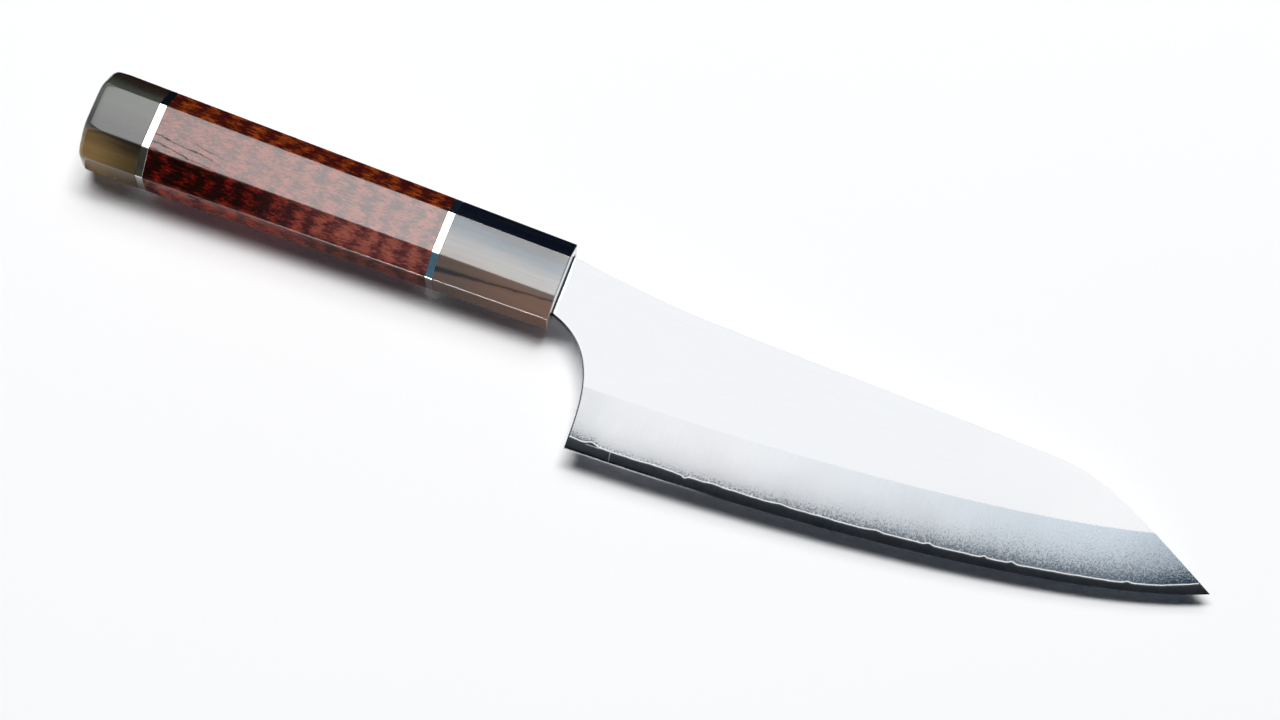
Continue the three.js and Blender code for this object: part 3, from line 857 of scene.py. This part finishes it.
def cladding_steel(tree):
    """Soft steel: satin flats with lengthwise hairlines, painted lighter towards the tip as a painted sheen,
    a stoned bevel whose strokes run up from the edge and which is painted darker and bluer towards the tip
    as painted shade, a speckled, hazy band that hugs the lamination line and climbs towards the tip, the
    bright line itself and painted shade on the choil's arris."""
    point = knife_point(tree)
    along = measured(tree, "along")
    above = measured(tree, "above_line")
    flat_lines = brushed(tree, point, (0.05, 7, 7))
    stone_lines = brushed(tree, point, (5, 0.12, 0.12))
    bevel = step(tree, raised(tree, measured(tree, "above_shoulder"), stone_lines, 0.4), 0.25, -0.05)
    tipward = span(tree, along, HAZE_AND_SHADE_START, TIP_REACH, 0.0, 1.0)
    by_heel = step(tree, along, HEEL_REACH + HEEL_HAZE, HEEL_REACH + 1.0)
    by_tip = step(tree, along, TIP_REACH - TIP_DARKENING, TIP_REACH - 6.0)
    climb = raised(tree, span(tree, along, HEEL_REACH, TIP_REACH, *HAZE_CLIMB), by_heel, 1.5)
    fade = calc(tree, "EXPONENT", product(tree, calc(tree, "DIVIDE", above, climb), -1.0))
    dust = noise(tree, point, (2.8, 2.4, 2.4), 2.0, 0.75)
    sparse = span(tree, tipward, 0.0, 1.0, 0.64, 0.54)
    dense = span(tree, fade, 0.0, 1.0, sparse, 0.34)
    dots = step(tree, dust, dense, calc(tree, "ADD", dense, 0.1))
    strong = raised(tree, raised(tree, 0.04, tipward, 0.24), fade, 1.15)
    speckle = product(tree, bevel, dots, calc(tree, "MINIMUM", strong, 1.0))
    # A hazy veil hugging the line, plus painted shade that darkens the whole bevel towards the tip and near
    # the heel and tip
    veil_and_painted_shade = product(tree, fade, raised(tree, 0.12, calc(tree, "ADD", tipward, by_heel), 0.17))
    for mask, amount in ((by_heel, 0.08), (by_tip, 0.2), (tipward, 0.17), (stone_lines, 0.05)):
        veil_and_painted_shade = raised(tree, veil_and_painted_shade, mask, amount)
    deep = span(tree, tipward, 0.0, 1.0, 0.62, 0.4)
    line = step(tree, above, LINE_WIDTH + 0.1, LINE_WIDTH - 0.14)
    # The speckled haze and the painted shade together, which darken the colour below
    haze_and_painted_shade = product(tree, raised(tree, product(tree, bevel, veil_and_painted_shade), speckle, deep), rest(tree, line))
    satin = blend(tree, flat_lines, (0.885, 0.902, 0.93), (0.91, 0.926, 0.952))
    # Painted sheen: the flats lighten towards the tip
    satin = blend(tree, step(tree, along, 105, TIP_REACH), satin, (0.945, 0.957, 0.975))
    # Painted shade: the bevel turns bluer and darker towards the tip
    satin = blend(tree, product(tree, bevel, tipward), satin, (0.74, 0.85, 0.95))
    colour = blend(tree, haze_and_painted_shade, satin, (0.045, 0.078, 0.12))
    colour = blend(tree, line, colour, (0.95, 0.96, 0.97))
    # Painted shade on the choil's arris
    choil = step(tree, measured(tree, "from_choil"), 0.48, 0.2)
    rough = raised(tree, smudged(tree, point, 0.05, 0.08, 0.12), bevel, 0.02)
    return {
        "Base Color": blend(tree, choil, colour, (0.06, 0.065, 0.075)),
        "Metallic": 1.0,
        "Roughness": raised(tree, rough, speckle, 0.12),
        "Normal": bump(tree, blend(tree, bevel, flat_lines, stone_lines), 0.12, 0.01),
    }


def core_steel(tree):
    """Hard steel: polish with stone strokes, its near-black base colour a painted dark reflection of the
    polish, a honed line on the edge that is bright by the heel and dies away, a stray hairline up from the
    edge and a short bright mark along it."""
    point = knife_point(tree)
    along = measured(tree, "along")
    rise = measured(tree, "rise")
    lines = brushed(tree, point, (4, 0.2, 0.2))
    clouds = noise(tree, point, (0.35, 0.9, 0.9), 3.0)
    # Painted reflection: the near-black base colour stands for the dark surroundings that the polish mirrors
    colour = blend(tree, clouds, (0.026, 0.033, 0.043), (0.06, 0.067, 0.078))
    colour = blend(tree, product(tree, lines, 0.35), colour, (0.11, 0.12, 0.14))
    ragged = raised(tree, 0.02, noise(tree, point, 1.6, 3.0), 0.5)
    honed = calc(tree, "LESS_THAN", rise, ragged)
    bright = product(tree, honed, step(tree, along, HONED_REACH[1], HONED_REACH[0]))
    hairline = band(tree, raised(tree, along, rise, 0.16), HAIRLINE_PLACE, 0.16, 0.04)
    mark = product(tree, band(tree, rise, MARK_RISE, 0.16, 0.04), band(tree, along, MARK_PLACE, 2.4, 1.4))
    strays = calc(tree, "MAXIMUM", product(tree, hairline, 0.5), product(tree, mark, 0.6))
    return {
        "Base Color": blend(tree, calc(tree, "MAXIMUM", bright, strays), colour, (0.86, 0.88, 0.9)),
        "Metallic": 1.0,
        "Roughness": raised(tree, smudged(tree, point, 0.12, 0.05, 0.09), bright, 0.15),
        "Normal": bump(tree, lines, 0.1, 0.008),
    }


def nickel_silver(tree):
    """White metal: polished, with rubbing lines round the handle and a thin tarnish."""
    point = knife_point(tree)
    lines = brushed(tree, point, (6, 0.25, 0.25))
    tarnish = step(tree, noise(tree, point, 1.3, 4.0, 0.65), 0.35, 0.7)
    return {
        "Base Color": blend(tree, tarnish, (0.9, 0.89, 0.86), (0.74, 0.73, 0.69)),
        "Metallic": 1.0,
        "Roughness": raised(tree, smudged(tree, point, 0.5, 0.04, 0.08), lines, 0.03),
        "Normal": bump(tree, lines, 0.08, 0.006),
    }


def snakewood(tree):
    """Snakewood under clear gloss: orange-red bars across the grain, in broken columns a few millimetres
    apart, with edges frayed by the grain, dark grain lines and pores. Each facet has its own tone, lit and
    shaded copies of the wood as painted light and shade. Towards the butt the tone turns, partly the wood's
    own change and partly painted shade on the lower facet, and a few fine checks open there."""
    point = knife_point(tree)
    x, y, z = add(tree, "SeparateXYZ", {0: point}).outputs
    grain = streaked(tree, point, (0.16, 3.2, 3.2), 0.06, (0, 0.8, 0.8), 0.3, 0.7)
    pores = streaked(tree, point, (0.11, 4.6, 4.6), 0.05, (0, 1, 1), 0.34, 0.27)
    # Facet masks that give each facet its own painted light and shade below
    upper = step(tree, y, 4.8, 7.2)
    side = product(tree, step(tree, y, -7.0, -9.0), step(tree, z, 6.4, 3.8))
    lower = product(tree, step(tree, y, -4.4, -7.6), rest(tree, side))
    main = calc(tree, "SUBTRACT", rest(tree, upper), calc(tree, "ADD", lower, side))
    rear = step(tree, x, -58, -90)
    sway = noise(tree, point, (0.16, 0.5, 0.5), 4.0, 0.7)
    crossing = raised(tree, raised(tree, y, x, CHECK_SLANT), sway, 3.0)
    crossing = calc(tree, "PINGPONG", calc(tree, "SUBTRACT", crossing, CHECK_HEIGHT), CHECK_APART)
    checks = product(
        tree,
        step(tree, crossing, 0.3, 0.06),
        step(tree, x, CHECK_FRONT, CHECK_FRONT - 8.0),
        step(tree, y, 0.0, -1.5),
    )
    drift = noise(tree, point, (0.05, 0.24, 0.24), 2.0)
    fray = noise(tree, point, (0.12, 1.8, 1.8), 3.0, 0.6)
    place = calc(tree, "DIVIDE", calc(tree, "SUBTRACT", x, BAR_PLACE), BAR_SPACING)
    place = swayed(tree, swayed(tree, place, drift, 1.3), fray, 0.8)
    wave = calc(tree, "COSINE", product(tree, place, 2 * math.pi))
    bars = product(tree, wave, raised(tree, 0.72, product(tree, rear, main), -0.5))
    breaks = noise(tree, point, (0.3, 0.6, 0.6), 4.0, 0.62)
    flecks = noise(tree, point, (0.8, 2.6, 2.6), 3.0, 0.6)
    for wander, amount in ((breaks, 5.6), (flecks, 5.5), (grain, 0.7)):
        bars = swayed(tree, bars, wander, amount)
    # Fewer bright bars on the upper facet, and the lower facet's rear pushed dark: painted shade, partly the
    # wood's own darkening
    bars = raised(tree, raised(tree, bars, upper, -0.8), product(tree, rear, lower), -1.15)
    bars = step(tree, bars, -1.3, 1.4)
    # Lit and shaded copies of the bar colours, one for each facet: painted light and shade
    bright = blend(tree, upper, (0.33, 0.075, 0.046), (0.35, 0.06, 0.004))
    dark = blend(tree, upper, (0.05, 0.017, 0.013), (0.038, 0.003, 0.002))
    for mask, brights, darks in (
        (lower, ((0.5, 0.13, 0.085), (0.36, 0.01, 0.004)), ((0.11, 0.026, 0.025), (0.01, 0.0006, 0.0005))),
        (side, ((0.31, 0.046, 0.022), (0.6, 0.065, 0.028)), ((0.04, 0.004, 0.004), (0.12, 0.009, 0.007))),
    ):
        bright = blend(tree, mask, bright, blend(tree, rear, *brights))
        dark = blend(tree, mask, dark, blend(tree, rear, *darks))
    colour = blend(tree, bars, dark, bright)
    for mask, strength, tone in (
        (grain, 0.3, (0.045, 0.007, 0.004)),
        (pores, 0.75, (0.012, 0.003, 0.002)),
        (checks, 0.85, (0.006, 0.003, 0.002)),
    ):
        colour = blend(tree, product(tree, mask, strength), colour, tone)
    return {
        "Base Color": colour,
        "Roughness": smudged(tree, point, 0.12, 0.32, 0.48),
        "Specular IOR Level": 0.0,
        "Coat Weight": raised(tree, 1.0, checks, -0.7),
        "Coat Roughness": 0.03,
        "Coat IOR": 1.6,
        "Normal": bump(tree, pores, 0.15, 0.01),
    }


def horn(tree):
    """Polished buffalo horn in soft layers along the handle: near black on the spine side, through grey,
    to tan on the edge side. The butt's layers are browner, with a second dark one before the tan, which is
    olive. A thin dark layer crosses the ferrule's tan, and the ferrule's face has a brighter polish."""
    point = knife_point(tree)
    x, y, _ = add(tree, "SeparateXYZ", {0: point}).outputs
    butt = step(tree, x, GRIP_FRONT, GRIP_REAR)
    forward = step(tree, x, FERRULE_REAR, -3.0)
    near_spacer = step(tree, x, BUTT_END + 3.0, CAP_FRONT)
    grey = blend(tree, butt, (0.03, 0.07, 0.105), (0.05, 0.058, 0.045))
    pale = blend(tree, butt, (0.195, 0.19, 0.183), (0.008, 0.01, 0.011))
    olive = blend(tree, near_spacer, (0.3, 0.19, 0.075), (0.1, 0.065, 0.028))
    tan = blend(tree, butt, blend(tree, forward, (0.17, 0.12, 0.095), (0.29, 0.165, 0.115)), olive)
    layers = noise(tree, point, (0.03, 0.35, 0.35), 3.0, 0.55)
    depth = swayed(tree, raised(tree, y, x, 0.05), layers, 4.5)
    colour = blend(tree, butt, (0.002, 0.004, 0.009), (0.016, 0.008, 0.005))
    for tone, start, full in (
        (grey, (5.2, 6.0), (1.8, 0.3)),
        (pale, (2.6, -4.0), (-3.2, -11.0)),
        (tan, (-4.6, -12.2), (-8.5, -16.6)),
    ):
        starts = span(tree, butt, 0.0, 1.0, *start)
        share = step(tree, depth, starts, span(tree, butt, 0.0, 1.0, *full))
        colour = blend(tree, share, colour, tone)
    streaks = streaked(tree, point, (0.03, 0.9, 0.9), 0.05, (0, 3, 3), 0.4, 0.72)
    colour = blend(tree, product(tree, streaks, 0.14), colour, (0.05, 0.032, 0.022))
    ragged = noise(tree, point, (0.25, 1.2, 1.2), 3.0, 0.6)
    leaning = swayed(tree, raised(tree, y, x, -LAYER_SLOPE), ragged, 0.9)
    wide = span(tree, x, FERRULE_REAR, -14.0, 0.95, 0.34)
    layer = band(tree, leaning, LAYER_HEIGHT, wide, product(tree, wide, 0.2))
    shade = blend(tree, forward, (0.016, 0.022, 0.03), (0.05, 0.022, 0.014))
    strength = span(tree, x, FERRULE_REAR, 0.0, 0.8, 0.65)
    return {
        "Base Color": blend(tree, product(tree, layer, strength), colour, shade),
        "Roughness": smudged(tree, point, 0.15, 0.03, 0.07),
        "IOR": 1.6,
        "Coat Weight": step(tree, x, -FACE_POLISH[0], -FACE_POLISH[1]),
        "Coat IOR": 2.2,
        "Coat Roughness": 0.05,
        "Normal": bump(tree, brushed(tree, point, (0.3, 5, 5)), 0.03, 0.004),
    }


def dowel_wood(tree):
    """Plain pale hardwood, with grain along the dowel."""
    point = knife_point(tree)
    grain = streaked(tree, point, (0.05, 1.6, 1.6), 0.04, (0, 1, 1), 0.3, 0.7)
    return {
        "Base Color": blend(tree, grain, (0.46, 0.3, 0.15), (0.62, 0.45, 0.26)),
        "Roughness": smudged(tree, point, 0.2, 0.55, 0.7),
        "Normal": bump(tree, grain, 0.3, 0.03),
    }


def bedding_resin(tree):
    """Cast resin: cloudy brown with small bubbles."""
    point = knife_point(tree)
    bubbles = use(tree, SPECKS, Point=point, Specks_per_mm=(1.8, 1.8, 1.8), Share=0.2)
    colour = blend(tree, noise(tree, point, 0.3, 3.0), (0.2, 0.14, 0.08), (0.32, 0.24, 0.14))
    return {
        "Base Color": blend(tree, bubbles, colour, (0.42, 0.34, 0.22)),
        "Roughness": smudged(tree, point, 0.3, 0.4, 0.6),
        "Normal": bump(tree, bubbles, 0.3, 0.05),
    }


FINISHES = {
    make.__name__: finish(make.__name__, make)
    for make in (core_steel, cladding_steel, nickel_silver, snakewood, horn, dowel_wood, bedding_resin)
}


def dress(node, name, loops, joined, slot, values=None):
    """A piece that stands for a CAD node: its mesh, its finish and what it rides on."""
    piece = loft(name, loops, joined, values)
    piece.data.materials.append(FINISHES[slot])
    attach(piece, "root")
    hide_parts(node)
    return piece


FRONT_PLATE = block_rings(GRIP_FRONT, FERRULE_REAR)
GRIP = block_rings(GRIP_REAR, GRIP_FRONT)
REAR_PLATE = block_rings(CAP_FRONT, GRIP_REAR)

dress("blade_core", "core_blade", core_loops(), False, "core_steel", blade_values(1))
dress("blade_cladding_right", "right_cladding", cladding_loops(1), False, "cladding_steel", blade_values(1))
dress("blade_cladding_left", "left_cladding", cladding_loops(-1), False, "cladding_steel", blade_values(-1))
HANDLE_PIECES = (
    dress("ferrule", "horn_ferrule", ferrule_rings(), True, "horn"),
    dress("front_spacer", "front_spacer_plate", FRONT_PLATE, True, "nickel_silver"),
    dress("handle_body", "snakewood_grip", GRIP, True, "snakewood"),
    dress("rear_spacer", "rear_spacer_plate", REAR_PLATE, True, "nickel_silver"),
    dress("butt_cap", "horn_butt_cap", butt_cap_rings(), False, "horn"),
)
for node, slot in (("core_dowel", "dowel_wood"), ("tang_bedding", "bedding_resin")):
    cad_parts[node].material_slots[0].material = FINISHES[slot]


def camera():
    """The camera: its axes from the photograph's angles in the knife's own frame, laid as the knife is."""
    azimuth, elevation, roll = (math.radians(a) for a in (VIEW_AZIMUTH, VIEW_ELEVATION, VIEW_ROLL))
    back = np.array([
        math.sin(azimuth) * math.cos(elevation),
        -math.cos(azimuth) * math.cos(elevation),
        math.sin(elevation),
    ])
    right = np.cross([0, 0, 1], back)
    right = right / np.linalg.norm(right)
    up = np.cross(back, right)
    rolled_right = math.cos(roll) * right + math.sin(roll) * up
    rolled_up = math.cos(roll) * up - math.sin(roll) * right
    matrix = np.eye(4)
    matrix[:3, :3] = LAYING @ np.stack([rolled_right, rolled_up, back], axis=1)
    matrix[:3, 3] = placed(np.array(VIEW_TARGET) + VIEW_DISTANCE * back)
    data = bpy.data.cameras.new("camera")
    data.lens = LENS
    data.clip_start = 0.01
    made = bpy.data.objects.new("camera", data)
    made.matrix_world = Matrix(matrix)
    bpy.context.scene.collection.objects.link(made)
    bpy.context.scene.camera = made


def sheet_of(name, corners):
    """A flat four-cornered stage piece."""
    mesh = bpy.data.meshes.new(name)
    mesh.from_pydata(corners, [], [(0, 1, 2, 3)])
    made = bpy.data.objects.new(name, mesh)
    bpy.context.scene.collection.objects.link(made)
    return made


def reflected_only(made):
    """Hides a stage piece or lamp from all rays but reflections."""
    for ray in ("visible_camera", "visible_diffuse", "visible_shadow", "visible_transmission"):
        setattr(made, ray, False)


def card(name, corners, across, start, end):
    """A card that shows only in reflections. Its light runs from the start colour to the end colour
    as a place, measured along a direction, goes from start to end; each is (place, red, green, blue)."""
    made = sheet_of(name, corners)
    reflected_only(made)
    material = bpy.data.materials.new(name)
    material.use_nodes = True
    tree = material.node_tree
    tree.nodes.clear()
    point = add(tree, "TexCoord").outputs["Object"]
    place = add(tree, "VectorMath", {0: point, 1: across}, operation="DOT_PRODUCT").outputs["Value"]
    colour = blend(tree, step(tree, place, start[0], end[0]), start[1:], end[1:])
    glow = add(tree, "Emission", {"Color": colour})
    add(tree, "OutputMaterial", {"Surface": glow.outputs[0]})
    made.data.materials.append(material)


def level(low, high, height):
    """Corners of a level sheet between two (x, y) places."""
    plan = (low, (high[0], low[1]), high, (low[0], high[1]))
    return [(x, y, height) for x, y in plan]


def upright(x_low, x_high, y, z_low, z_high):
    """Corners of an upright sheet across Y."""
    return [(x_low, y, z_low), (x_high, y, z_low), (x_high, y, z_high), (x_low, y, z_high)]


def area_light(name, size, power):
    """A rectangular area light's data."""
    data = bpy.data.lights.new(name, "AREA")
    data.shape = "RECTANGLE"
    data.size, data.size_y = size
    data.energy = power
    return data


def hung(name, data, place, aim):
    """A light hung at a place and turned to an aim."""
    made = bpy.data.objects.new(name, data)
    made.location = place
    made.rotation_euler = (Vector(place) - Vector(aim)).to_track_quat("Z", "Y").to_euler()
    bpy.context.scene.collection.objects.link(made)
    return made


def soft_box(name, place, aim, size, brightness):
    """A lamp that shows only in the handle's polish: its brightness, in the floor's white, runs from one
    side to the other."""
    data = area_light(name, size, math.pi * size[0] * size[1])
    data.use_nodes = True
    tree = data.node_tree
    across = add(tree, "SeparateXYZ", {0: add(tree, "NewGeometry").outputs["Parametric"]}).outputs["X"]
    feed(tree, tree.nodes["Emission"].inputs["Strength"], span(tree, across, 0.0, 1.0, *brightness))
    made = hung(name, data, place, aim)
    reflected_only(made)
    lit = bpy.data.collections.new(name + "_pieces")
    for piece in HANDLE_PIECES:
        lit.objects.link(piece)
    made.light_linking.receiver_collection = lit


def reflections():
    """What the polished surfaces mirror besides the white room: a soft box over the handle, strips low
    in front of it and behind it, a dark flag over the blade's edge, dark flags low in front and behind, and
    a painted shadow at the handle's foot."""
    soft_box("handle_box", (-0.35, 0.6, 0.95), (-0.35, 0.6, 0.0), size=(0.8, 0.8), brightness=(6.4, 0.1))
    soft_box("ridge_strip", (-0.15, -0.85, 0.1), (-0.15, 0.0, 0.1), size=(0.26, 0.1), brightness=(0, 110))
    soft_box("spine_strip", (-0.1, 1.2, 0.45), (-0.1, 0.0, 0.0), size=(0.3, 0.25), brightness=(50, 10))
    card(
        "edge_flag",
        [(-0.6, -0.308, 1.0), (0.9, 0.313, 1.0), (0.9, 1.0, 1.0), (-0.6, 0.7, 1.0)],
        across=(-0.414, 1, 0),
        start=(0.098, 0.05, 0.055, 0.065),
        end=(0.122, 1.0, 1.0, 1.0),
    )
    card(
        "front_flag",
        upright(-0.9, 0.5, -0.9, 0.06, 0.6),
        across=(1, 0, 0),
        start=(-0.3, 0.03, 0.032, 0.025),
        end=(-0.15, 0.05, 0.12, 0.18),
    )
    # Painted shadow: a dark sheet at the handle's foot, darker towards it, that only reflections show
    card(
        "foot_painted_shadow",
        level((-0.163, -0.005), (-0.028, 0.003), 0.0006),
        across=(0, 1, 0),
        start=(-0.0045, 0.36, 0.34, 0.34),
        end=(-0.001, 0.09, 0.08, 0.08),
    )
    card(
        "rear_flag",
        level((-1.0, 0.045), (1.0, 1.4), 0.001),
        across=(1, 0, 0),
        start=(-0.3, 0.0, 0.0, 0.0),
        end=(0.1, 0.01, 0.02, 0.04),
    )


def lamp(name, place, size, power):
    """A lamp aimed at the knife; polished surfaces mirror the cards and soft boxes instead of it."""
    made = hung(name, area_light(name, size, power), place, (0, 0, 0))
    made.visible_glossy = False


def seen_ray(tree):
    """1 for rays that the camera, a polished surface or glass sends, 0 for the rest."""
    path = add(tree, "LightPath").outputs
    seen = calc(tree, "MAXIMUM", path["Is Camera Ray"], path["Is Glossy Ray"])
    return calc(tree, "MAXIMUM", seen, path["Is Transmission Ray"])


def room():
    """A dim room that shows as white."""
    world = bpy.data.worlds.new("room")
    world.use_nodes = True
    tree = world.node_tree
    colour = blend(tree, seen_ray(tree), ROOM_LIGHT, (1.0, 1.0, 1.0))
    feed(tree, tree.nodes["Background"].inputs["Color"], colour)
    bpy.context.scene.world = world


def floor():
    """A white floor that keeps the knife's shadow and shows brighter far off."""
    made = sheet_of("floor", level((-3, -3), (3, 3), 0.0))

    def white(tree):
        point = add(tree, "TexCoord").outputs["Object"]
        away = add(tree, "VectorMath", {0: point}, operation="LENGTH").outputs["Value"]
        glow = raised(tree, FLOOR_GLOW, step(tree, away, 0.5, 2.4), FAR_FLOOR_GLOW)
        return {
            "Base Color": blend(tree, noise(tree, point, 3.0, 3.0), (0.92, 0.925, 0.93), (0.95, 0.95, 0.95)),
            "Roughness": 0.9,
            "Specular IOR Level": 0.0,
            "Emission Color": (1, 1, 1, 1),
            "Emission Strength": product(tree, seen_ray(tree), glow),
        }

    made.data.materials.append(finish("floor", white))


camera()
reflections()
lamp("key", KEY_PLACE, KEY_SIZE, KEY_POWER)
lamp("back", BACK_PLACE, BACK_SIZE, BACK_POWER)
room()
floor()

bpy.context.scene.view_settings.view_transform = "Standard"
